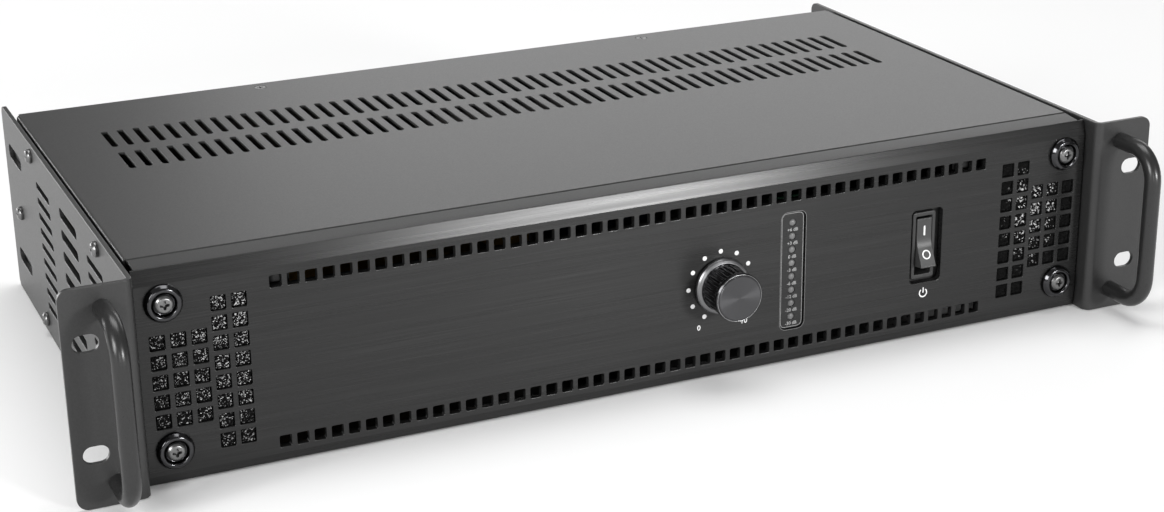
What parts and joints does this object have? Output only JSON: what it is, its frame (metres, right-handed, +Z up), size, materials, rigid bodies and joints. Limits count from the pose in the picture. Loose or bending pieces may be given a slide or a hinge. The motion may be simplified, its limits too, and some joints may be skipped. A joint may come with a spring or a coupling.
{
  "type": "rack power amplifier",
  "caption": "Rack-mount audio power amplifier with slotted folded side plates, pull handles, a perforated front panel, a volume knob, a level display and a rocker power switch.",
  "frame": {"origin": "bottom centre of the whole unit: under the case, midway between the ears' ends and midway between the front of the handles and the rear of the side plates", "axes": "+X to the unit's right as seen from the front, +Y from front to rear, +Z up"},
  "size_m": [0.4826, 0.278, 0.088],
  "materials": {
    "case_paint": "fine powder coat, satin black",
    "fascia_black": "brushed along its length and anodised black, satin sheen",
    "zinc_steel": "zinc plated, bright",
    "black_chrome": "glossy black chrome",
    "filter_foam": "open-cell black foam",
    "black_plastic": "moulded black plastic, slightly glossy",
    "knob_metal": "turned, knurled and dark anodised, with bright cut edges",
    "nickel_steel": "nickel plated, satin",
    "lens_grey": "translucent grey lamp lenses, unlit",
    "circuit_board": "green solder mask",
    "taped_winding": "steel core wound with copper and wrapped in yellow polyester tape",
    "capacitor_sleeve": "shrunk sleeve"
  },
  "bodies": {
    "root": {"chassis_tray": "case_paint", "rear_panel": "case_paint", "top_cover": "case_paint", "side_plate_right": "case_paint", "side_plate_left": "case_paint", "front_subpanel": "case_paint", "handle_right": "case_paint", "handle_left": "case_paint", "cover_screw_1": "case_paint", "cover_screw_2": "case_paint", "front_fascia": "fascia_black", "heat_sink": "fascia_black", "fascia_screw_1": "zinc_steel", "fascia_screw_2": "zinc_steel", "fascia_screw_3": "zinc_steel", "fascia_screw_4": "zinc_steel", "side_screw_right_1": "zinc_steel", "side_screw_right_2": "zinc_steel", "side_screw_right_3": "zinc_steel", "side_screw_right_4": "zinc_steel", "side_screw_right_5": "zinc_steel", "side_screw_left_1": "zinc_steel", "side_screw_left_2": "zinc_steel", "side_screw_left_3": "zinc_steel", "side_screw_left_4": "zinc_steel", "side_screw_left_5": "zinc_steel", "fascia_washer_1": "black_chrome", "fascia_washer_2": "black_chrome", "fascia_washer_3": "black_chrome", "fascia_washer_4": "black_chrome", "filter_left": "filter_foam", "filter_right": "filter_foam", "fan_frame_left": "black_plastic", "fan_frame_right": "black_plastic", "power_switch_housing": "black_plastic", "led_overlay": "black_plastic", "mains_inlet": "black_plastic", "link_jack": "black_plastic", "terminal_block": "black_plastic", "potentiometer": "nickel_steel", "transformer_clamp": "nickel_steel", "output_transformer_core": "nickel_steel", "xlr_input": "nickel_steel", "ground_switch_body": "nickel_steel", "led_lens_strip": "lens_grey", "led_board": "circuit_board", "amplifier_board": "circuit_board", "mains_transformer": "taped_winding", "output_transformer_coil": "taped_winding", "capacitor_1": "capacitor_sleeve", "capacitor_2": "capacitor_sleeve"},
    "volume_control": {"volume_knob": "knob_metal", "potentiometer_shaft": "nickel_steel"},
    "rocker": {"power_rocker": "black_plastic"},
    "left_fan": {"fan_impeller_left": "black_plastic"},
    "right_fan": {"fan_impeller_right": "black_plastic"},
    "fuse_holder": {"fuse_drawer": "black_plastic"},
    "latch": {"xlr_latch": "black_plastic"},
    "terminal_lid": {"terminal_cover": "black_plastic"},
    "ground_lift": {"ground_switch_slider": "black_plastic"}
  },
  "joints": [
    {"name": "knob_turn", "type": "hinge", "parent": "root", "child": "volume_control", "pos_m": [0.0314, -0.111, 0.0412], "axis": [0, 1, 0], "range_deg": [-150, 150]},
    {"name": "power_rock", "type": "hinge", "parent": "root", "child": "rocker", "pos_m": [0.1313, -0.0987, 0.0427], "axis": [1, 0, 0], "range_deg": [0, 26]},
    {"name": "fan_spin_left", "type": "hinge", "parent": "root", "child": "left_fan", "pos_m": [-0.18, -0.081, 0.044], "axis": [0, 1, 0], "continuous": true},
    {"name": "fan_spin_right", "type": "hinge", "parent": "root", "child": "right_fan", "pos_m": [0.18, -0.081, 0.044], "axis": [0, 1, 0], "continuous": true},
    {"name": "fuse_drawer_pull", "type": "slide", "parent": "root", "child": "fuse_holder", "axis": [0, 1, 0], "range_m": [0, 0.012]},
    {"name": "xlr_latch_press", "type": "slide", "parent": "root", "child": "latch", "axis": [0, -1, 0], "range_m": [0, 0.0015], "stiffness_N_per_m": 300},
    {"name": "terminal_cover_lift", "type": "hinge", "parent": "root", "child": "terminal_lid", "pos_m": [0.01, 0.1358, 0.0565], "axis": [1, 0, 0], "range_deg": [0, 100]},
    {"name": "ground_slide", "type": "slide", "parent": "root", "child": "ground_lift", "axis": [1, 0, 0], "range_m": [0, 0.003]}
  ]
}
